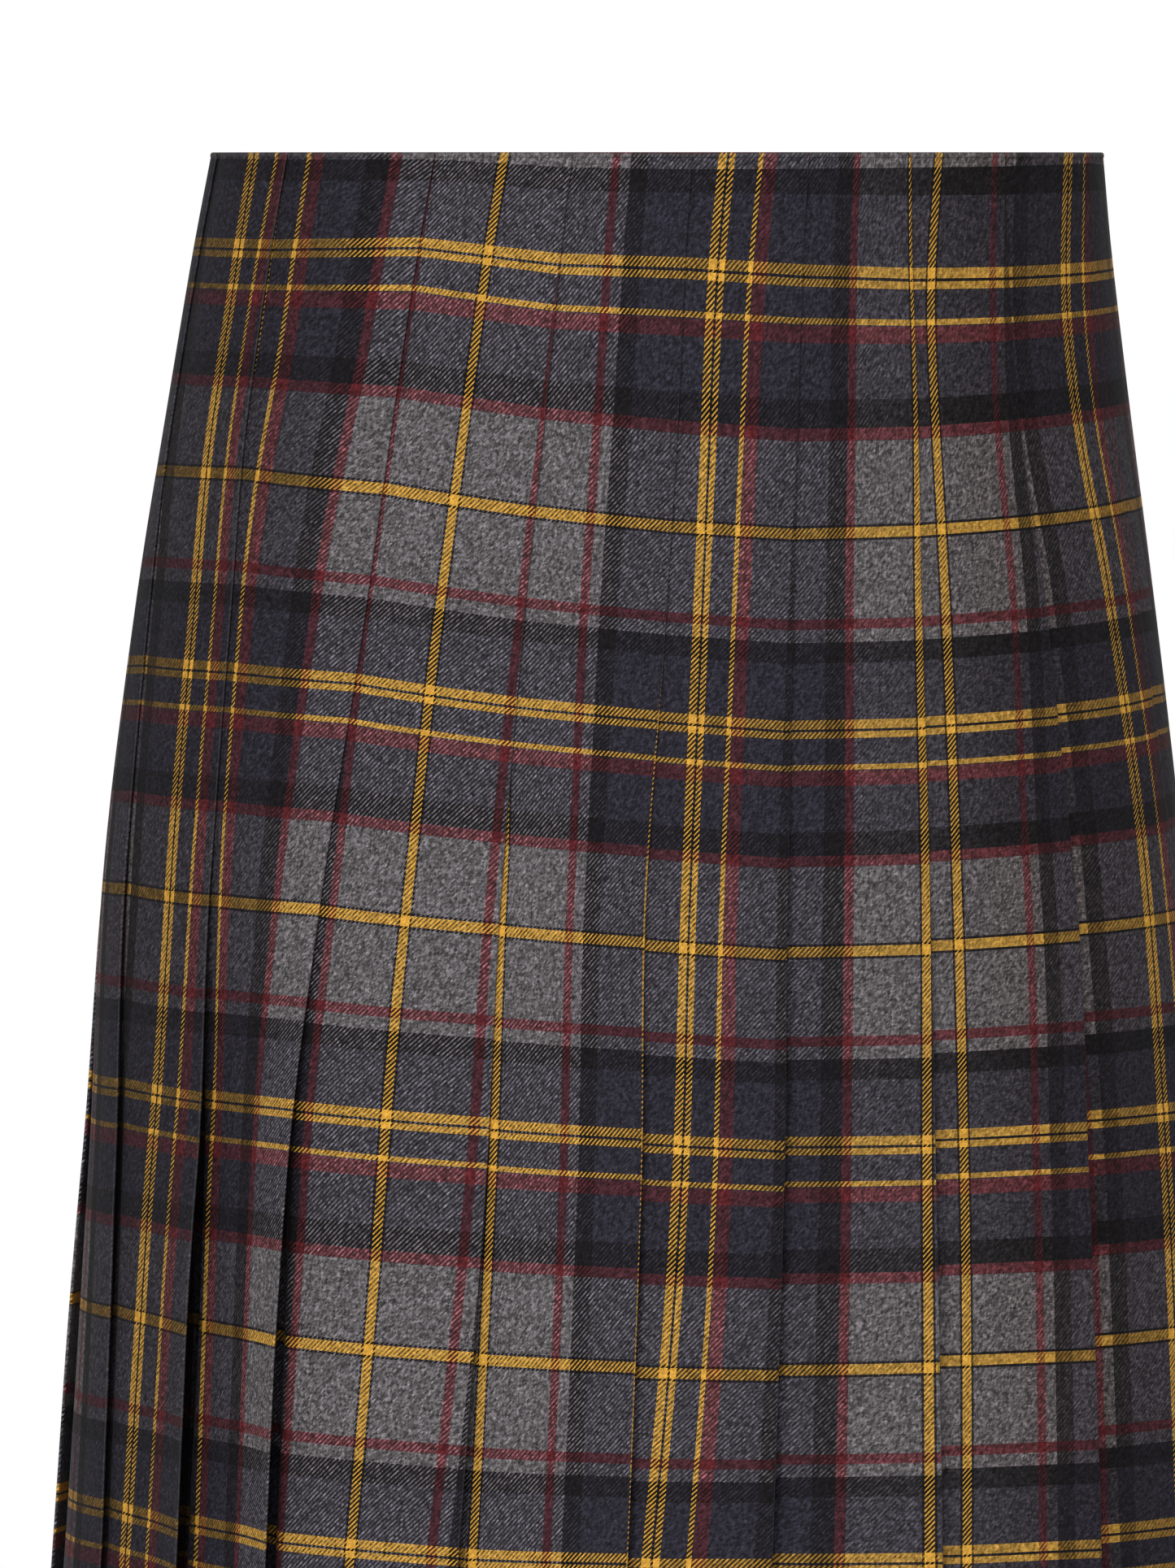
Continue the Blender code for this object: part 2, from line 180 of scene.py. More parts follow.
# The zip's own sizes, in metres
ZIP_LENGTH = 0.19
ZIP_OUT = 0.0026  # the middle of the cloth at its seam, out from the section
TAPE_IN = 0.0019  # from there in to the middle of the tapes
TAPE_FROM_SEAM = 0.001
TAPE_TOP = 0.002  # its drop below the waist
TAPE_CELLS, TAPE_CELLS_DOWN = 8, 60
COIL = (0.0008, 0.00022, 0.00055)  # a turn's radius, the wire's, and out from the seam
COIL_TOP, COIL_END = 0.005, 0.003
SLIT = 0.0015
SLIT_END = 0.03
SLIT_CLOSED = 0.07
SEAM_GAP = 0.0003
SLIDER_DROP = 0.016
PLATE = (0.0046, 0.0009, 0.008)
PLATE_FACE = 0.0017  # from the middle of the cloth out to the slider's face
INNER_PLATE = 0.0032  # and in to the middle of its inner plate
NECK = (0.0007, 0.0044, 0.005)
BAIL = (0.0004, 0.0016, 0.00235)
HINGE_OUT = 0.00245
PULL_LENGTH = 0.021
PULL_HALF_WIDTHS = (0.0016, 0.0028)
PULL_THICK = 0.0008
PULL_BAR = 0.00045
PULL_SLOT = (0.0016, 0.0027)

# The photograph's frame and its middle, where the camera looks
PHOTO_SIZE = (1445, 1929)
PHOTO_X, PHOTO_Z = -0.0202, -0.1836
PIXELS_PER_METRE = 4223.0
SENSOR = 36.0
WHITE = (1.0, 1.0, 1.0, 1.0)


def metres(name, description, default):
    """A length in metres."""
    return FloatProperty(name=name, description=description, default=default, unit="LENGTH",
                         precision=6)


def glow(name, source, default):
    """The strength of a light."""
    return FloatProperty(name=name, description="Strength of the light from " + source,
                         default=default, min=0.0)


def hue(name, description, default):
    """A colour, as red, green and blue."""
    return FloatVectorProperty(name=name, description=description, default=(*default, 1.0),
                               subtype="COLOR", size=4)


class ClothSizes(PropertyGroup):
    """Sizes of the cloth."""
    shell: metres("Cloth thickness", "Thickness of one layer of cloth", 0.0004)
    layer: metres("Layer spacing", "Between two layers of a pleat", 0.00055)
    proud: metres("Stand-off", "How far the faces stand off the section", 0.0033)
    belly: metres("Belly", "How far the middle of a face swells low down", 0.001)
    rings: IntProperty(name="Rings", description="Rows of cloth from waist to hem",
                       default=110, min=20, max=160)
    thread: metres("Thread spacing", "From one thread to the next", 0.000381)


class YarnColours(PropertyGroup):
    """Colours of the yarns, and of the painted highlight on fold edges."""
    navy: hue("Navy", "Navy yarn", (0.0262, 0.024, 0.0355))
    black: hue("Black", "Black yarn", (0.0085, 0.0072, 0.0092))
    grey: hue("Grey", "Grey yarn", (0.132, 0.121, 0.128))
    maroon: hue("Maroon", "Dark red yarn", (0.114, 0.0158, 0.02))
    gold: hue("Gold", "Gold yarn", (0.85, 0.44, 0.06))
    pressed: hue("Pressed edge", "Shine of a pressed fold edge", (0.2, 0.19, 0.185))


class ZipSizes(PropertyGroup):
    """Sizes of the zip."""
    tape_width: metres("Tape width", "Width of one tape that shows", 0.0078)
    tape_wall: metres("Tape thickness", "Thickness of the tape", 0.0006)
    coil_pitch: metres("Coil pitch", "From one turn of the coil to the next", 0.0012)
    metal: hue("Metal", "Colour of the slider and its pull", (0.34, 0.33, 0.32))
    tape: hue("Tape", "Colour of the tapes", (0.02, 0.02, 0.028))


class StudioSettings(PropertyGroup):
    """The camera, the floor and the lights."""
    distance: metres("Camera distance", "From the camera to the middle", 2.6)
    floor_drop: metres("Floor drop", "The floor below the waist", 1.05)
    dome: glow("Dome light", "all round", 0.22)
    key: glow("Key light", "the front", 1.75)
    fill: glow("Fill light", "the right", 0.2)
    back: glow("Back light", "behind", 0.7)
    paper: hue("Floor colour", "Colour of the floor", (0.86, 0.86, 0.85))


def smooth(value):
    """A soft step from 0 to 1."""
    value = min(max(value, 0.0), 1.0)
    return value * value * (3.0 - 2.0 * value)


def slope_at(places, values, index):
    """The slope of a smooth line through its named places, level at a turning point."""
    before, after = ((values[i + 1] - values[i]) / (places[i + 1] - places[i])
                     for i in (max(index - 1, 0), min(index, len(places) - 2)))
    return 2.0 * before * after / (before + after) if before * after > 0.0 else 0.0


def between(places, values, place):
    """The value at a place, on a smooth line through the named ones."""
    place = min(max(place, places[0]), places[-1])
    index = max(i for i, known in enumerate(places[:-1]) if known <= place)
    first, last = values[index:index + 2]
    run = places[index + 1] - places[index]
    share = (place - places[index]) / run
    rest = 1.0 - share
    leaving, coming = (slope_at(places, values, i) for i in (index, index + 1))
    return (first * rest * rest * (1.0 + 2.0 * share) + last * share * share * (3.0 - 2.0 * share)
            + run * share * rest * (leaving * rest - coming * share))


def section(drop):
    """The skirt's section at a drop below the waist."""
    return {name: between(SECTION["drop"], values, drop) for name, values in SECTION.items()}


def speed(ring, turn):
    """Metres along the section for each radian of turn."""
    return hypot(ring["half_width"] * cos(turn), ring["half_depth"] * sin(turn))


def cloth_point(ring, turn, out):
    """A point of the cloth, out from the section along its normal."""
    normal = Vector((sin(turn) / ring["half_width"], -cos(turn) / ring["half_depth"]))
    normal.normalize()
    x = ring["centre_x"] + ring["half_width"] * sin(turn) + out * normal.x
    y = ring["centre_y"] - ring["half_depth"] * cos(turn) + out * normal.y
    tilt = WAIST_TILT * (1.0 - ring["drop"] / LENGTH)
    return Vector((x, y, tilt * y - ring["drop"]))


def pleats(ring, layer):
    """Every fold edge at a drop with its overlap, from the wearer's right side round."""
    drop = ring["drop"]
    edges = [dict(row, end=radians(between(EDGE_DROPS, row["turns"], drop))) for row in EDGES]
    first, last = edges[0]["end"], edges[-1]["end"]
    step = (first + TURN - last) / (BACK_EDGES + 1)
    edges += [dict(BACK_FORM, end=last + step * (place + 1)) for place in range(BACK_EDGES)]
    before = edges[-1]["end"] - TURN
    low, full = STEP_DROPS
    stepped = smooth((drop - low) / (full - low)) / 2000.0
    for place, edge in enumerate(edges):
        share = ZIP_TUCK if place == ZIP_FACE else ring["tuck"]
        opened = smooth((drop - edge["stitched"]) / OPENING_RUN)
        edge.update(start=edge["end"] - share * (edge["end"] - before), lean=2.0 * layer * share,
                    lift=edge["open"] * opened, sink=edge["sink"] * opened,
                    half_step=edge["step"] * stepped)
        before = edge["end"]
    return edges


def fold(edges, place):
    """A fold edge by its place, counted on round past the last and before the first."""
    edge, shift = edges[place % len(edges)], TURN * (place // len(edges))
    return dict(edge, start=edge["start"] + shift, end=edge["end"] + shift)


def sunk(pleat, beyond):
    """How far the cloth beside a fold edge dips, a distance beyond that edge."""
    return pleat["sink"] * smooth((-pleat["under"] - beyond) / pleat["run"])


def warp_ends(face, drop):
    """The warp threads at the left and right of a face, counted round from the first one."""
    whole = SETT_THREADS * face
    if face < len(FRONT_WARP):
        return [whole + between(WARP_DROPS, threads, drop) for threads in FRONT_WARP[face][1:]]
    left = whole + FRONT_WARP[-1][1][0] + BACK_WARP_STEP * (face - len(FRONT_WARP) + 1)
    return left, left + BACK_WARP_WIDTH


def dip(edges, turn, drop):
    """How far the weft hangs below a level line at a place."""
    first, last = edges[0]["end"], edges[FRONT_FACES - 1]["end"]
    places = [edge["end"] for edge in edges[:FRONT_FACES]]
    places += [last + (first + TURN - last) * share for name, share, dips in BACK_DIPS]
    places.append(first + TURN)
    values = [between(DIP_DROPS, row[-1], drop) for row in FRONT_DIPS + BACK_DIPS]
    values.append(values[0])
    turn = first + (turn - first) % TURN
    for low, high, left, right in zip(places, places[1:], values, values[1:]):
        if turn <= high:
            return (left + (right - left) * (turn - low) / (high - low)) / 1000.0


def face_out(left, right, at_zip, turn, sizes, ring):
    """How far a face stands out at a turn, from the fold it comes from to its own edge."""
    begin, start, end = left["end"], right["start"], right["end"]
    if turn <= start:
        share = (turn - begin) / (start - begin)
        out = left["lean"] + (2.0 * sizes.layer - left["lean"]) * share
        out -= sunk(left, (turn - begin) * speed(ring, turn))
        if at_zip:
            pull = 1.0 - smooth((ring["drop"] - ZIP_LENGTH) / ZIP_FADE)
            out += (ZIP_OUT - sizes.proud - out) * pull * sin(pi * share) ** 2
    else:
        share = (turn - start) / (end - start)
        out = 2.0 * sizes.layer + right["lean"] * share + right["lift"] * share * share
    swell = sizes.belly * smooth(ring["drop"] / BELLY_RUN)
    return out + swell * sin(pi * (turn - begin) / (end - begin))


def face_stations(edges, face, sizes, ring, seam_left=None, seam_right=None):
    """Stations of the visible face, from or up to a seam where it has one."""
    drop = ring["drop"]
    left, right = fold(edges, face - 1), fold(edges, face)
    begin, start, end = left["end"], right["start"], right["end"]
    low = begin if seam_left is None else seam_left
    if seam_right is None:
        turns = [low + (start - low) * share for share in OPEN_SHARES]
        turns += [start + (end - start) * share for share in LAPPED_SHARES]
    else:
        turns = [begin + (seam_right - begin) * share for share in OPEN_SHARES]
    warp_left, warp_right = warp_ends(face, drop)
    lag = between(WARP_DROPS, SIDE_LAG, drop) if face == 1 else 0.0
    stations = []
    for turn in turns:
        share = (turn - begin) / (end - begin)
        warp = warp_left + (warp_right - warp_left) * share - 4.0 * lag * share * (1.0 - share)
        out = face_out(left, right, face == ZIP_FACE, turn, sizes, ring)
        stations.append({"turn": turn, "out": out, "warp": warp, "pressed": 0.0, "shown": True,
                         "step": left["half_step"] * (1.0 - share) - right["half_step"] * share})
    return stations


def hidden_warp(warp_from, warp_to, travelled, whole, sizes):
    """The warp thread along a pleat's hidden cloth, even near the faces it joins."""
    near, far = FOLD_RUN / sizes.thread, UNDER_RUN / sizes.thread
    if travelled < FOLD_RUN:
        return warp_from + travelled / sizes.thread
    if travelled > whole - UNDER_RUN:
        return warp_to - (whole - travelled) / sizes.thread
    share = (travelled - FOLD_RUN) / (whole - UNDER_RUN - FOLD_RUN)
    return warp_from + near + (warp_to - far - warp_from - near) * share


def fold_stations(edges, face, sizes, ring):
    """Stations from a face's edge round under it and out again below the next face."""
    pleat = edges[face]
    start, end, lean, lift = (pleat[part] for part in ("start", "end", "lean", "lift"))
    layer, radius = sizes.layer, sizes.layer / 2.0
    pace = speed(ring, end)
    path = []
    for angle in (0.12, 0.3, 0.5, 0.7, 0.9):
        out = 2.0 * layer + lean + lift + radius * (cos(pi * angle) - 1.0)
        # Painted highlight along the front of the fold's roll
        pressed = max(0.0, 1.0 - abs(angle - 0.3) * 6.0)
        path.append((end + radius / pace * (sin(pi * angle) - 1.0), out, pressed))
    for share in (0.92, 0.75, 0.5, 0.25, 0.03):
        out = layer + lean * share + lift * share * share
        path.append((start + (end - start) * share, out, 0.0))
    for angle in (0.3, 0.7):
        out = radius * (1.0 + cos(pi * angle))
        path.append((start - radius / pace * sin(pi * angle), out, 0.0))
    width = (end - start) * pace
    beyond = [-width * share for share in (0.97, 0.75, 0.55)]
    beyond += [-min(UNDER_RUN, width * 0.45) * share for share in UNDER_SHARES]
    for distance in beyond:
        share = 1.0 + distance / width
        out = lean * share - sunk(pleat, distance) * smooth(share * 4.0)
        path.append((end + distance / pace, out, 0.0))
    reach = [0.0]
    for (turn, out, _), (following, further, _) in zip(path, path[1:]):
        reach.append(reach[-1] + hypot((following - turn) * pace, further - out))
    warp_from, warp_to = warp_ends(face, ring["drop"])[1], warp_ends(face + 1, ring["drop"])[0]
    stations = []
    for (turn, out, pressed), travelled in zip(path[:-1], reach):
        stations.append({"turn": turn, "out": out, "pressed": pressed, "shown": False,
                         "warp": hidden_warp(warp_from, warp_to, travelled, reach[-1], sizes),
                         "step": pleat["half_step"] * (2.0 * travelled / reach[-1] - 1.0)})
    return stations


def seam_turns(edges):
    """The turns of the two side seams at a drop, the wearer's right one first."""
    faces = [(fold(edges, face - 1)["end"], edges[face]["start"]) for face in (0, ZIP_FACE)]
    return [begin + (start - begin) * SEAM_PLACE for begin, start in faces]


def slit_half(drop):
    """Half the gap between the panels at the zip."""
    share = smooth((drop - SLIT_END) / (SLIT_CLOSED - SLIT_END))
    return (SLIT + (SEAM_GAP - SLIT) * share) / 2.0


def turned_in(station, side, ring):
    """Stations that roll a panel's edge inwards at a seam."""
    pace = side * speed(ring, station["turn"])
    return [dict(station, turn=station["turn"] + inside / pace, out=station["out"] - depth)
            for inside, depth in SEAM_ROLL]


def panel_line(drop, first, last, sizes):
    """A panel's stations at a drop, seam to seam through all its pleats."""
    ring = section(drop)
    edges = pleats(ring, sizes.layer)
    right_seam, zip_seam = seam_turns(edges)
    gap = SEAM_GAP / 2.0 / speed(ring, right_seam)
    slit = slit_half(drop) / speed(ring, zip_seam)
    if first == 0:
        begin, end = right_seam + gap, zip_seam - slit
    else:
        begin, end = zip_seam + slit, right_seam + TURN - gap
    line = []
    for face in range(first, last):
        line += face_stations(edges, face, sizes, ring, begin if face == first else None)
        line += fold_stations(edges, face, sizes, ring)
    line += face_stations(edges, last, sizes, ring, None, end)
    line = turned_in(line[0], 1.0, ring) + line[1:-1] + turned_in(line[-1], -1.0, ring)[::-1]
    return ring, edges, line


def ring_drops(count):
    """The drops of the rings, closer together at the waist and the hem."""
    drops = [LENGTH * place / count for place in range(count + 1)]
    return sorted(set(drops + [0.0008, 0.0025, LENGTH - 0.0008, LENGTH - 0.0025]))


def select_only(piece):
    """Make a piece the only one selected and active."""
    bpy.ops.object.select_all(action="DESELECT")
    piece.select_set(True)
    bpy.context.view_layer.objects.active = piece


def sheet_piece(name, lines, weave, finish, wall):
    """A sheet of cloth through lines of points, with its threads as a UV map."""
    across = len(lines[0])
    points = [point for line in lines for point in line]
    corners = [row * across + place for row in range(len(lines) - 1) for place in range(across - 1)]
    faces = [(corner, corner + across, corner + across + 1, corner + 1) for corner in corners]
    mesh = bpy.data.meshes.new(name)
    mesh.from_pydata(points, [], faces)
    threads = mesh.uv_layers.new(name="threads")
    # Per point, the fold edges' painted highlight, then the sides' even twill and painted shade
    for column, kind in ((2, "pressed"), (3, "sided")):
        painted_light_map = mesh.attributes.new(kind, "FLOAT", "POINT")
        painted_light_map.data.foreach_set("value", [data[column] for data in weave])
    for loop in mesh.loops:
        threads.data[loop.index].uv = weave[loop.vertex_index][:2]
    mesh.shade_smooth()
    mesh.materials.append(finish)
    piece = bpy.data.objects.new(name, mesh)
    bpy.context.scene.collection.objects.link(piece)
    select_only(piece)
    thick = piece.modifiers.new("cloth", "SOLIDIFY")
    thick.thickness = wall
    thick.offset = 0.0
    bpy.ops.object.modifier_apply(modifier=thick.name)
    return piece


def woven(station, edges, drop, weft, pressed, sizes):
    """A station's place in the weave, its painted edge highlight, and how even its twill is
    and how much painted shade it takes at the sides.
    """
    turn = station["turn"]
    weft -= dip(edges, turn, drop) + station["step"]
    return (station["warp"] * sizes.thread, weft, pressed,
            between(SIDED_TURNS, SIDED_SHARES, degrees(turn)))


def cloth_panel(name, first, last, sizes, finish):
    """One pleated panel of the skirt."""
    lines, weave = [], []
    for drop in ring_drops(sizes.rings):
        ring, edges, line = panel_line(drop, first, last, sizes)
        lines.append([cloth_point(ring, s["turn"], s["out"] + sizes.proud) for s in line])
        weave += [woven(s, edges, drop, drop, s["pressed"], sizes) for s in line]
    return sheet_piece(name, lines, weave, finish, sizes.shell)


def waist_edge(name, first, last, sizes, finish):
    """The turned edge along a panel's top, over all the layers of its pleats."""
    ring, edges, line = panel_line(0.0, first, last, sizes)
    stations = [station for station in line if station["shown"]]
    lines, weave = [], []
    for share, away, rise, pressed in WAIST_ROWS[::-1]:
        weft = -rise - WAIST_LAP * (1.0 - share)
        points = []
        for station in stations:
            inner = min(-0.0004, station["out"] - 0.0009)
            out = inner + (station["out"] - inner) * share + away + sizes.proud
            points.append(cloth_point(ring, station["turn"], out) + Vector((0.0, 0.0, rise)))
            weave.append(woven(station, edges, 0.0, weft, pressed, sizes))
        lines.append(points)
    return sheet_piece(name, lines, weave, finish, sizes.shell)


def seam_point(drop, aside=0.0):
    """A point of the tapes, beside the zip's seam."""
    ring = section(drop)
    turn = seam_turns(pleats(ring, 0.0))[1]
    return cloth_point(ring, turn + aside / speed(ring, turn), ZIP_OUT - TAPE_IN)


def zip_matrix(along, up, place):
    """A place on the zip: X along the cloth, Y inwards, Z up the cloth."""
    matrix = Matrix((along, up.cross(along), up)).transposed().to_4x4()
    matrix.translation = place
    return matrix


def seam_matrix(drop):
    """The place of the zip's seam at a drop."""
    step = 0.003
    up = (seam_point(drop - step) - seam_point(drop + step)).normalized()
    along = seam_point(drop, step) - seam_point(drop, -step)
    return zip_matrix(up.cross(along).cross(up).normalized(), up, seam_point(drop))


def hinge_matrix():
    """The place of the pull's hinge, with its axis from the frame's joint."""
    joint = frame["joints"][0]
    along = -Vector(joint["axis"]).normalized()
    up = along.cross(seam_matrix(SLIDER_DROP).to_3x3().col[2].cross(along)).normalized()
    return zip_matrix(along, up, Vector(joint["pos_m"]))


def finish_piece(piece, name, finish, matrix=Matrix()):
    """Smooth a hard piece, give it its finish and set its mesh in place."""
    select_only(piece)
    bpy.ops.object.shade_smooth_by_angle(angle=radians(40.0))
    piece.name = name
    piece.data.name = name
    piece.data.materials.clear()
    piece.data.materials.append(finish)
    piece.matrix_world = matrix @ piece.matrix_world
    bpy.ops.object.transform_apply()
    return piece


def choose(kind, parts, picked):
    """Select the active piece's parts of a kind that pass a test, in edit mode."""
    bpy.ops.object.mode_set(mode="EDIT")
    bpy.ops.mesh.select_mode(type=kind)
    bpy.ops.mesh.select_all(action="DESELECT")
    bpy.ops.object.mode_set(mode="OBJECT")
    for part in getattr(bpy.context.object.data, parts):
        part.select = picked(part)
    bpy.ops.object.mode_set(mode="EDIT")


def round_edges(piece, picked, width, steps):
    """Round the edges of a mesh whose two ends pass a test."""
    select_only(piece)
    points = [vertex.co.copy() for vertex in piece.data.vertices]
    choose("EDGE", "edges", lambda edge: picked(*(points[place] for place in edge.vertices)))
    bpy.ops.mesh.bevel(offset=width, segments=steps, affect="EDGES")
    bpy.ops.object.mode_set(mode="OBJECT")


def added(primitive, scale=(1.0, 1.0, 1.0), **form):
    """A primitive added alone and stretched, its place, turn and size applied."""
    bpy.ops.object.select_all(action="DESELECT")
    primitive(**form)
    made = bpy.context.object
    made.scale = scale
    bpy.ops.object.transform_apply()
    return made


def through(first, last):
    """Whether an edge runs through a plate."""
    return abs(first.y - last.y) > 0.0001


def block(size, place):
    """A block of a size at a place."""
    return added(bpy.ops.mesh.primitive_cube_add, size, size=1.0, location=place)


def plate(size, place, corner, rim):
    """A plate with rounded corners and a softened rim, its faces towards Y."""
    made = block(size, place)
    round_edges(made, through, corner, 6)
    round_edges(made, lambda first, last: not through(first, last), rim, 3)
    return made


def combine(piece, tool, operation):
    """Apply a Boolean with another piece, and take that piece away."""
    select_only(piece)
    step = piece.modifiers.new("form", "BOOLEAN")
    step.operation = operation
    step.solver = "EXACT"
    step.object = tool
    bpy.ops.object.modifier_apply(modifier=step.name)
    bpy.data.objects.remove(tool)


def slider_piece(finish):
    """The slider: a rounded plate each side of the cloth, its neck, rails and bail."""
    width, thick, height = PLATE
    outside, inside = HINGE_OUT - PLATE_FACE + thick / 2.0, HINGE_OUT + INNER_PLATE
    made, back = (plate(PLATE, (0.0, out, 0.0), 0.0015, 0.00022) for out in (outside, inside))
    neck = block(NECK, (0.0, (outside + inside) / 2.0, 0.0))
    round_edges(neck, through, 0.0003, 3)
    rails = [plate((0.0006, 0.0007, height * 0.9),
                   (side * (width / 2.0 - 0.0003), inside - thick / 2.0 - 0.0001, 0.0),
                   0.0001, 0.0002) for side in (-1.0, 1.0)]
    radius, half, reach = BAIL
    bail = added(bpy.ops.mesh.primitive_torus_add, (1.0, (reach + radius) / (half + radius), 1.0),
                 major_radius=half, minor_radius=radius, major_segments=40, minor_segments=14,
                 rotation=(0.0, QUARTER, 0.0), location=(0.0, outside, 0.0))
    for tool in (neck, back, *rails, bail):
        combine(made, tool, "UNION")
    return finish_piece(made, "slider_body", finish, hinge_matrix())


def pull_piece(finish):
    """The pull: a tapered, dished plate with a slot, and the bar that it swings on."""
    top, low = PULL_HALF_WIDTHS
    made = block((2.0 * low, PULL_THICK, PULL_LENGTH), (0.0, 0.0, -PULL_LENGTH / 2.0))
    round_edges(made, lambda a, b: a.z < -PULL_LENGTH * 0.9 and through(a, b), low * 0.98, 14)
    choose("VERT", "vertices", lambda vertex: vertex.co.z > -0.0001)
    bpy.ops.transform.resize(value=(top / low, 1.0, 1.0))
    choose("FACE", "polygons", lambda face: abs(face.normal.y) > 0.9)
    for inwards, depth in ((0.00018, 0.0), (0.0004, 0.0), (0.00012, -0.00012)):
        bpy.ops.mesh.inset(thickness=inwards, depth=depth)
    bpy.ops.object.mode_set(mode="OBJECT")
    slot_width, slot_height = PULL_SLOT
    middle = -(PULL_BAR * 0.5 + slot_height / 2.0)
    slot = block((slot_width, 4.0 * PULL_THICK, slot_height), (0.0, 0.0, middle))
    round_edges(slot, through, 0.00035, 4)
    combine(made, slot, "DIFFERENCE")
    bar = added(bpy.ops.mesh.primitive_cylinder_add, vertices=28, radius=PULL_BAR, depth=2.0 * top,
                rotation=(0.0, QUARTER, 0.0))
    round_edges(bar, lambda a, b: abs(a.x - b.x) < 0.0001, 0.00012, 2)
    combine(made, bar, "UNION")
    return finish_piece(made, "zip_puller", finish, hinge_matrix())


def coil_piece(pitch, finish):
    """The two meshed rows of the zip's coil between its tapes."""
    turn, wire, apart = COIL
    tooth = added(bpy.ops.mesh.primitive_torus_add, (1.0, 0.62, 1.0), major_radius=turn,
                  minor_radius=wire, major_segments=14, minor_segments=7,
                  rotation=(radians(12.0), 0.0, 0.0))
    made = []
    for place in range(int((ZIP_LENGTH - COIL_TOP - COIL_END) / pitch)):
        for side in (-1.0, 1.0):
            drop = COIL_TOP + pitch * (place + 0.25 * (1.0 + side))
            copy = tooth.copy()
            copy.data = tooth.data.copy()
            copy.matrix_world = seam_matrix(drop) @ Matrix.Translation((side * apart, 0.0, 0.0))
            bpy.context.scene.collection.objects.link(copy)
            made.append(copy)
    bpy.data.objects.remove(tooth)
    select_only(made[0])
    for copy in made:
        copy.select_set(True)
    bpy.ops.object.transform_apply()
    bpy.ops.object.join()
    return finish_piece(made[0], "zip_coil", finish)


def tape_piece(name, side, sizes, finish):
    """One woven tape of the zip, behind one edge of the slit."""
    lines, weave = [], []
    for step in range(TAPE_CELLS_DOWN + 1):
        drop = TAPE_TOP + (ZIP_LENGTH - TAPE_TOP) * step / TAPE_CELLS_DOWN
        line = []
        for place in range(TAPE_CELLS + 1):
            across = TAPE_FROM_SEAM + sizes.tape_width * place / TAPE_CELLS
            line.append(seam_point(drop, side * across))
            weave.append((side * across, drop, 0.0, 0.0))
        lines.append(line if side > 0.0 else line[::-1])
    return sheet_piece(name, lines, weave, finish, sizes.tape_wall)


class Wire:
    """A socket of a material's nodes, for shader maths written as Python sums."""

    def __init__(self, finish, socket):
        self.finish = finish
        self.socket = socket

    def math(self, operation, *others):
        """A Math node on this value and others."""
        values = dict(enumerate((self, *others)))
        return self.finish.node("ShaderNodeMath", {"operation": operation}, values)

    def __add__(self, other):
        return self.math("ADD", other)

    __radd__ = __add__

    def __mul__(self, other):
        return self.math("MULTIPLY", other)

    __rmul__ = __mul__

    def __sub__(self, other):
        return self.math("SUBTRACT", other)

    def __rsub__(self, other):
        return self.finish.node("ShaderNodeMath", {"operation": "SUBTRACT"}, {0: other, 1: self})

    def __truediv__(self, other):
        return self.math("DIVIDE", other)


class Finish:
    """A material or world, and the one way that nodes are added to it."""

    def __init__(self, owner, shader="Principled BSDF", **uniform):
        owner.use_nodes = True
        self.owner = owner
        self.tree = owner.node_tree
        self.shader = self.tree.nodes[shader]
        for socket, value in uniform.items():
            self.shader.inputs[socket.replace("_", " ")].default_value = value

    def node(self, kind, settings=None, values=None, output=0):
        """A node of a type, its settings set first, then its sockets' values or links."""
        made = self.tree.nodes.new(kind)
        for name, value in (settings or {}).items():
            if name == "stops":
                self.stops(made.color_ramp, value)
            else:
                setattr(made, name, value)
        for place, value in (values or {}).items():
            socket = made.inputs[place]
            if isinstance(value, Wire):
                self.tree.links.new(value.socket, socket)
            else:
                socket.default_value = value
        return Wire(self, made.outputs[output])

    @staticmethod
    def stops(ramp, stops):
        """Set a colour ramp's hard stops, each a place and a colour."""
        ramp.interpolation = "CONSTANT"
        while len(ramp.elements) > 1:
            ramp.elements.remove(ramp.elements[-1])
        ramp.elements[0].position, ramp.elements[0].color = stops[0]
        for place, colour in stops[1:]:
            ramp.elements.new(place).color = colour

    def mix(self, factor, first, second, blend="MIX"):
        """A colour mixed from two by a factor."""
        settings = {"data_type": "RGBA", "blend_type": blend}
        return self.node("ShaderNodeMix", settings, {0: factor, 6: first, 7: second}, 2)

    def pair(self, first, second):
        """A vector of two values."""
        return self.node("ShaderNodeCombineXYZ", None, {0: first, 1: second})

    def chance(self, across, down):
        """A random value for each pair of numbers."""
        return self.node("ShaderNodeTexWhiteNoise", {"noise_dimensions": "2D"},
                         {0: self.pair(across, down)})

    def bump(self, strength, distance, height):
        """Raise the surface by a height."""
        values = {"Strength": strength, "Distance": distance, "Height": height}
        self.feed("Normal", self.node("ShaderNodeBump", None, values))

    def feed(self, socket, wire):
        """Link a wire to a socket of the surface shader."""
        self.tree.links.new(wire.socket, self.shader.inputs[socket])


def yarn_root(colours, yarn):
    """A yarn's colour as its root, with how flecked it is in the last place."""
    root = [part ** (1.0 / ROOT) for part in getattr(colours, yarn)[:3]]
    return (*root, FLECKED[yarn])


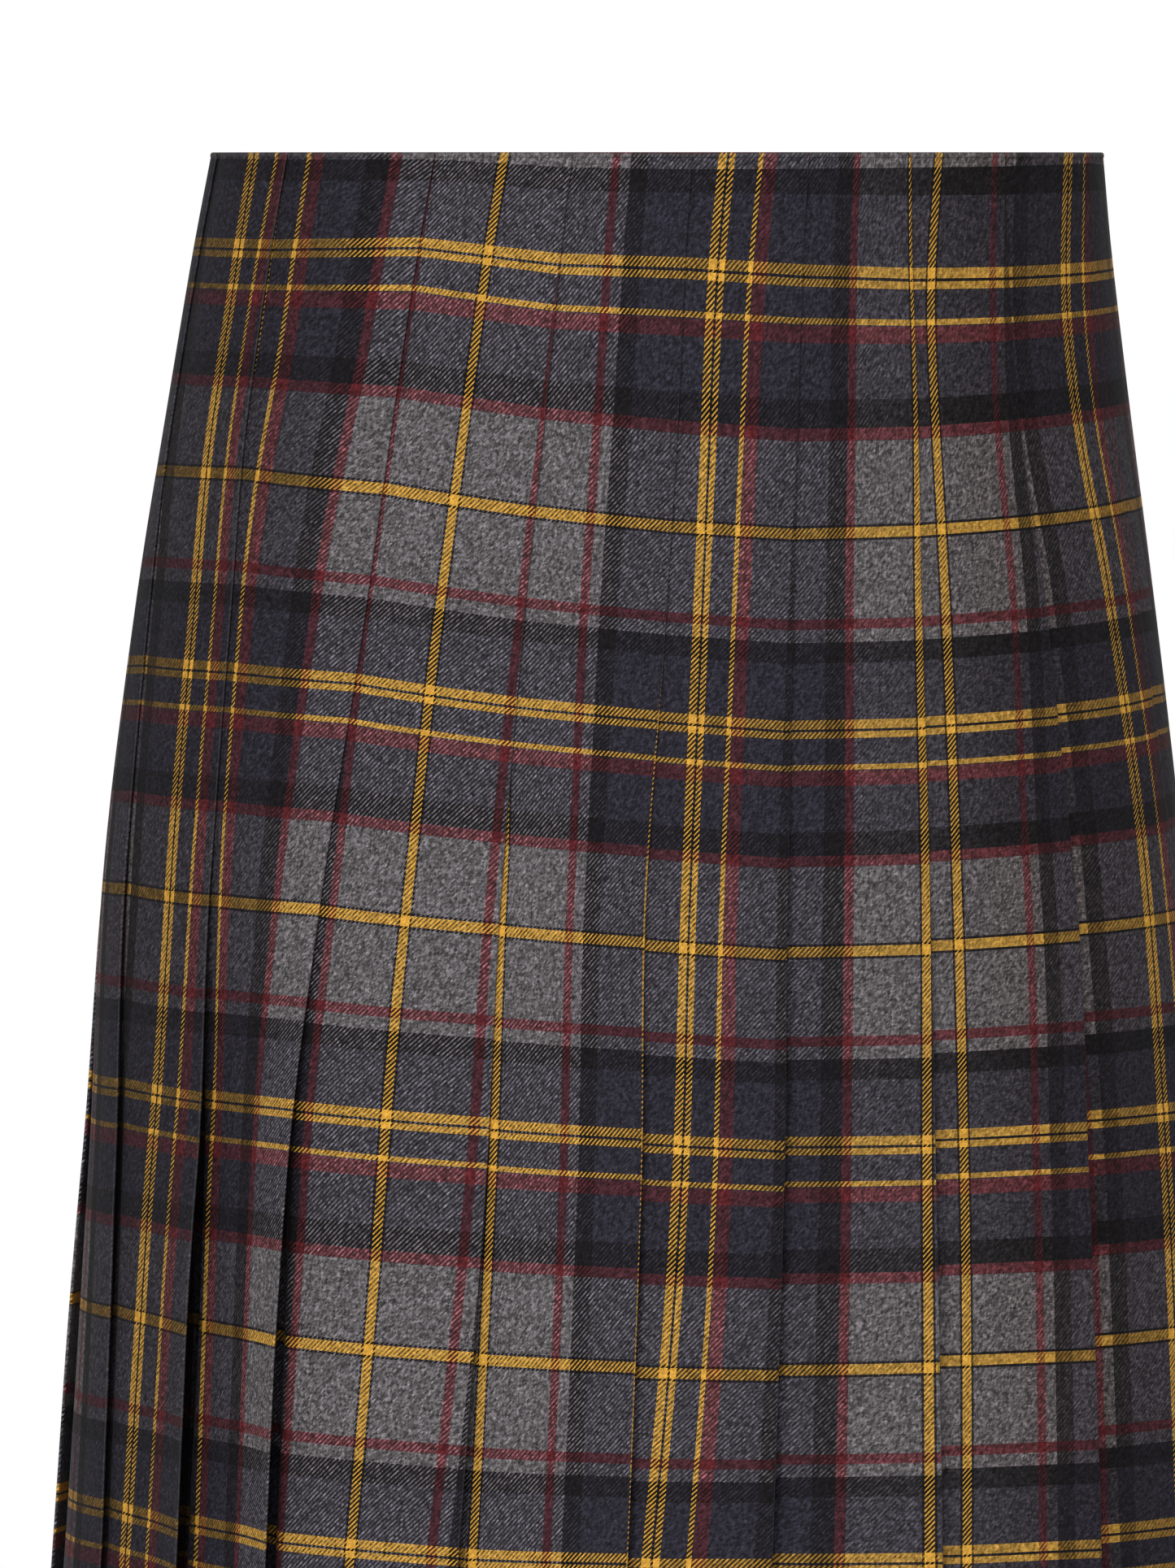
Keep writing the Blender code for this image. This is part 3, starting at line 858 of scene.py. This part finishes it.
def striped(made, threads, colours):
    """The yarn at a count of threads: the wide stripes from a ramp, the narrow ones over it."""
    count = (threads / SETT_THREADS).math("FRACT") * SETT_THREADS
    stops, narrow, place = [], [], 0
    for yarn, width in SETT:
        if width < NARROW:
            narrow.append((yarn, place + width / 2.0, width / 2.0))
        else:
            stops.append((place / SETT_THREADS, yarn_root(colours, yarn)))
        place += width
    stops.insert(0, (0.0, stops[-1][1]))
    found = made.node("ShaderNodeValToRGB", {"stops": stops}, {0: count / SETT_THREADS})
    flecked = Wire(made, found.socket.node.outputs[1])
    for yarn, middle, half in narrow:
        inside = count.math("COMPARE", middle, half)
        root = yarn_root(colours, yarn)
        found = made.mix(inside, found, (*root[:3], 1.0))
        flecked = flecked + (root[3] - flecked) * inside
    return found, flecked


def wool_finish(colours, sizes):
    """Worsted twill in the tartan, its threads worked out from the cloth's own map."""
    made = Finish(bpy.data.materials.new("pleated_wool"), Roughness=0.9, Specular_IOR_Level=0.2,
                  Sheen_Weight=0.03, Sheen_Roughness=0.4)
    place = made.node("ShaderNodeUVMap", {"uv_map": "threads"})
    warp, weft = (made.node("ShaderNodeSeparateXYZ", None, {0: place}, axis) / sizes.thread
                  for axis in (0, 1))
    warp_count, weft_count = warp.math("FLOOR"), weft.math("FLOOR")
    side = made.node("ShaderNodeAttribute", {"attribute_name": "sided"}, None, 2)
    even = side.math("ABSOLUTE")
    # How strongly the sides take painted shade, darker and duller
    dull = even * even
    warp_yarn, warp_flecked = striped(made, warp, colours)
    weft_yarn, weft_flecked = striped(made, weft, colours)
    # Twill: each warp thread is up for two weft threads and down for two, a thread further
    # along every time, with soft borders. The darker yarn takes more of the room, and more still
    # towards the sides as painted shade
    wave = ((warp + weft) / 4.0).math("FRACT")
    warp_light, weft_light = (
        made.node("ShaderNodeVectorMath", {"operation": "DOT_PRODUCT"},
                  {0: yarn, 1: (0.33, 0.34, 0.33)}, 1) for yarn in (warp_yarn, weft_yarn))
    lighter = warp_light - weft_light
    mixture = weft_flecked * warp_flecked
    swing = 0.73 - (even * 2.6).math("MINIMUM", 1.0) * warp_flecked * 0.72
    warp_share = (wave * TURN).math("COSINE") * swing + 0.5 \
        - lighter * mixture * (lighter * lighter * 4.0 + dull * 0.6) \
        - side * even * warp_flecked * 0.17
    warp_share = warp_share.math("MINIMUM", 1.0).math("MAXIMUM", 0.0)
    # Close by, crossing yarns lend each other their hue but keep their own lightness
    hue_share = warp_share * 0.4 + 0.3 + (weft_flecked - warp_flecked) * 0.35
    relight = (weft_light + lighter * warp_share) / (weft_light + lighter * hue_share)
    # A dark float lies in the shade of the light ones beside it
    plain = 1.0 - warp_flecked
    shade = lighter * lighter * (plain * plain * 1.9 + 1.0) \
        * (0.5 - lighter.math("SIGN") * (warp_share - 0.5))
    # Each float of a mixture yarn is lighter or darker than the next
    warp_float = made.chance(warp_count, ((weft + warp_count) / 4.0).math("FLOOR"))
    weft_float = made.chance(((warp + weft_count + 2.0) / 4.0).math("FLOOR"), weft_count + 0.5)
    # Painted shade between threads: each thread is lighter along its middle than at its borders
    rounds = ((threads.math("FRACT") * pi).math("SINE") for threads in (warp, weft))
    fleck, flecked, rounded = (
        under + (over - under) * warp_share
        for over, under in ((warp_float, weft_float), (warp_flecked, weft_flecked), rounds))
    dash = made.chance(((warp + weft) / 2.0 + 0.5).math("FLOOR"),
                       ((warp - weft) / 3.5).math("FLOOR"))
    drift = made.pair((warp + weft) / 3.5, (warp - weft) / 7.0)
    cloud = made.node("ShaderNodeTexNoise", {"noise_dimensions": "2D"},
                      {"Vector": drift, "Scale": 1.0, "Roughness": 0.6})
    # Painted shade: towards the sides a mixture yarn's colour is darkened and dulled
    side_shade_tint = made.mix(dull * mixture, WHITE, (0.955, 0.935, 0.925, 1.0))
    root = made.mix(1.0, made.mix(hue_share, weft_yarn, warp_yarn), side_shade_tint, "MULTIPLY")
    unevenness = (fleck - 0.5) * 0.26 + (dash - 0.5) * 0.32 + (cloud - 0.5) * 0.55
    # Painted shade: the wearer's right side is darkened further
    light = (unevenness * (flecked * 0.8 + 0.2) + rounded * 0.12 + 0.92 - shade
             + side.math("MINIMUM", 0.0) * 0.045) * relight
    scaled = made.node("ShaderNodeVectorMath", {"operation": "SCALE"}, {0: root, 3: light})
    shaded = made.node("ShaderNodeGamma", None, {0: scaled, 1: ROOT})
    # Painted highlight: fold edges and the waist's turned edge lightened towards a pale shine
    painted_light_map = made.node("ShaderNodeAttribute", {"attribute_name": "pressed"}, None, 2)
    made.feed("Base Color", made.mix(painted_light_map * 0.22, shaded, tuple(colours.pressed)))
    made.feed("Roughness", fleck * 0.12 + 0.8)
    hand = made.node("ShaderNodeTexNoise", {"noise_dimensions": "2D"},
                     {"Vector": place, "Scale": 60.0})
    height = warp_share * 0.00005 + fleck * 0.00003 + hand * 0.0002
    made.bump(0.7, 1.0, height)
    return made.owner


def tape_finish(colour):
    """Matt woven tape with a fine rib along it."""
    made = Finish(bpy.data.materials.new("zip_tape"), Roughness=0.85, Specular_IOR_Level=0.2)
    place = made.node("ShaderNodeTexCoord", None, None, 3)
    rib = made.node("ShaderNodeTexWave", {"wave_type": "BANDS", "bands_direction": "Z"},
                    {"Vector": place, "Scale": 620.0, "Distortion": 0.4})
    mottle = made.node("ShaderNodeTexNoise", None, {"Vector": place, "Scale": 900.0})
    light = tuple(2.2 * part for part in colour[:3]) + (1.0,)
    made.feed("Base Color", made.mix(rib * 0.5 + mottle * 0.3, tuple(colour), light))
    made.bump(0.4, 0.0002, rib)
    return made.owner


def metal_finish(colour):
    """Satin nickel with fine brushing and small dull patches."""
    made = Finish(bpy.data.materials.new("zip_metal"), Metallic=1.0, Roughness=0.35)
    place = made.node("ShaderNodeTexCoord", None, None, 3)
    long_place = made.node("ShaderNodeMapping", None, {0: place, 3: (1.0, 1.0, 0.12)})
    brushed = made.node("ShaderNodeTexNoise", None, {"Vector": long_place, "Scale": 4000.0})
    patch = made.node("ShaderNodeTexNoise", None, {"Vector": place, "Scale": 500.0, "Detail": 3.0})
    dark = tuple(0.55 * part for part in colour[:3]) + (1.0,)
    made.feed("Base Color", made.mix(patch * 0.6, tuple(colour), dark))
    made.feed("Roughness", brushed * 0.18 + patch * 0.14 + 0.18)
    made.bump(0.15, 0.00005, brushed)
    return made.owner


def paper_finish(colour):
    """The plain pale floor, hardly mottled."""
    made = Finish(bpy.data.materials.new("studio_floor"), Roughness=0.9, Specular_IOR_Level=0.1)
    place = made.node("ShaderNodeTexCoord", None, None, 3)
    mottle = made.node("ShaderNodeTexNoise", None, {"Vector": place, "Scale": 3.0})
    shade = tuple(0.97 * part for part in colour[:3]) + (1.0,)
    made.feed("Base Color", made.mix(mottle, tuple(colour), shade))
    return made.owner


class SKIRT_OT_cloth_panels(Operator):
    """The front and back panels, pleated, in tartan"""
    bl_idname = "skirt.cloth_panels"
    bl_label = "Pleated panels"

    def execute(self, context):
        sizes, colours = context.scene.skirt_cloth, context.scene.skirt_yarns
        finish = wool_finish(colours, sizes)
        for (side, first, last), width in zip(PANELS, (1.10, 0.98)):
            piece = cloth_panel(side + "_cloth", first, last, sizes, finish)
            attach(piece, "skirt")
            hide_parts(side + "_panel")
        return {"FINISHED"}


class SKIRT_OT_waist_edge(Operator):
    """The turned edge at the waist, along both panels"""
    bl_idname = "skirt.waist_edge"
    bl_label = "Waist edge"

    def execute(self, context):
        sizes = context.scene.skirt_cloth
        finish = bpy.data.objects["front_cloth"].data.materials[0]
        for (side, first, last), width in zip(PANELS, (0.41, 0.35)):
            piece = waist_edge(side + "_waist_edge", first, last, sizes, finish)
            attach(piece, "skirt")
        return {"FINISHED"}


class SKIRT_OT_zip(Operator):
    """The concealed zip: two tapes, the coil, the slider and its pull"""
    bl_idname = "skirt.zip"
    bl_label = "Zip"

    def execute(self, context):
        sizes = context.scene.skirt_zip
        ribbed = tape_finish(sizes.tape)
        metal = metal_finish(sizes.metal)
        for name, side in (("front", -1.0), ("back", 1.0)):
            piece = tape_piece(name + "_tape", side, sizes, ribbed)
            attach(piece, "skirt")
            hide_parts("zip_tape_" + name)
        coil = coil_piece(sizes.coil_pitch, ribbed)
        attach(coil, "skirt")
        body = slider_piece(metal)
        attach(body, "skirt")
        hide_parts("zip_slider")
        puller = pull_piece(metal)
        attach(puller, "pull")
        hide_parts("zip_pull")
        return {"FINISHED"}


class SKIRT_OT_stage(Operator):
    """The floor, the light and the camera at the photograph's place"""
    bl_idname = "skirt.stage"
    bl_label = "Studio"

    def execute(self, context):
        studio = context.scene.skirt_studio
        self.floor(studio)
        self.lights(context.scene, studio)
        self.camera(context.scene, studio)
        return {"FINISHED"}

    def floor(self, studio):
        """A wide round floor, well below the hem."""
        ground = added(bpy.ops.mesh.primitive_circle_add, vertices=96, radius=6.0,
                       fill_type="NGON", location=(0.0, 0.0, -studio.floor_drop))
        ground.name = "studio_floor"
        ground.data.materials.append(paper_finish(studio.paper))

    def lights(self, scene, studio):
        """An even dome, a soft light from the front left and a soft one from behind."""
        world = Finish(bpy.data.worlds.new("studio_world"), "Background", Color=WHITE,
                       Strength=studio.dome)
        shown = world.node("ShaderNodeMixShader", {}, {
            0: world.node("ShaderNodeLightPath"), 1: Wire(world, world.shader.outputs[0]),
            2: world.node("ShaderNodeBackground", {}, {"Color": WHITE})})
        world.tree.links.new(shown.socket, world.tree.nodes["World Output"].inputs["Surface"])
        scene.world = world.owner
        scene.view_settings.view_transform = "Standard"
        for name, power, spread, towards in (
                ("key_light", studio.key, 0.9, (0.32, 1.0, -0.45)),
                ("fill_light", studio.fill, 1.0, (-1.0, 0.6, -0.2)),
                ("back_light", studio.back, 0.7, (-0.1, -1.0, -0.4))):
            lamp = bpy.data.lights.new(name, "SUN")
            lamp.energy = power
            lamp.angle = spread
            light = bpy.data.objects.new(name, lamp)
            light.rotation_euler = Vector(towards).to_track_quat("-Z", "Y").to_euler()
            scene.collection.objects.link(light)

    def camera(self, scene, studio):
        """A long lens, level, straight in front of the middle of the photograph."""
        lens = bpy.data.cameras.new("photo_camera")
        lens.sensor_width = SENSOR
        lens.lens = PIXELS_PER_METRE * studio.distance / PHOTO_SIZE[1] * SENSOR
        lens.clip_end = 60.0
        camera = bpy.data.objects.new("photo_camera", lens)
        camera.location = (PHOTO_X, -studio.distance, PHOTO_Z)
        camera.rotation_euler = (QUARTER, 0.0, 0.0)
        scene.collection.objects.link(camera)
        scene.camera = camera


class SKIRT_PT_sidebar(Panel):
    """The skirt's pieces and sizes"""
    bl_idname = "SKIRT_PT_sidebar"
    bl_label = "Pleated skirt"
    bl_space_type = "VIEW_3D"
    bl_region_type = "UI"
    bl_category = "Skirt"

    def draw(self, context):
        layout = self.layout
        for operator in OPERATORS:
            layout.operator(operator.bl_idname)
        for name, group in GROUPS.items():
            box, settings = layout.box(), getattr(context.scene, name)
            for part in group.__annotations__:
                box.prop(settings, part)


OPERATORS = (SKIRT_OT_cloth_panels, SKIRT_OT_waist_edge, SKIRT_OT_zip, SKIRT_OT_stage)
GROUPS = {"skirt_cloth": ClothSizes, "skirt_yarns": YarnColours, "skirt_zip": ZipSizes,
          "skirt_studio": StudioSettings}


def register():
    """Register every class and hang the settings on the scene."""
    for made in (*GROUPS.values(), *OPERATORS, SKIRT_PT_sidebar):
        bpy.utils.register_class(made)
    for name, group in GROUPS.items():
        setattr(bpy.types.Scene, name, PointerProperty(type=group))


def unregister():
    """Take the settings and the classes away again."""
    for name in GROUPS:
        delattr(bpy.types.Scene, name)
    for made in (SKIRT_PT_sidebar, *OPERATORS[::-1], *GROUPS.values()):
        bpy.utils.unregister_class(made)


def main():
    """Make every piece in order."""
    register()
    bpy.ops.skirt.cloth_panels()
    bpy.ops.skirt.waist_edge()
    bpy.ops.skirt.zip()
    bpy.ops.skirt.stage()


if __name__ == "__main__":
    main()
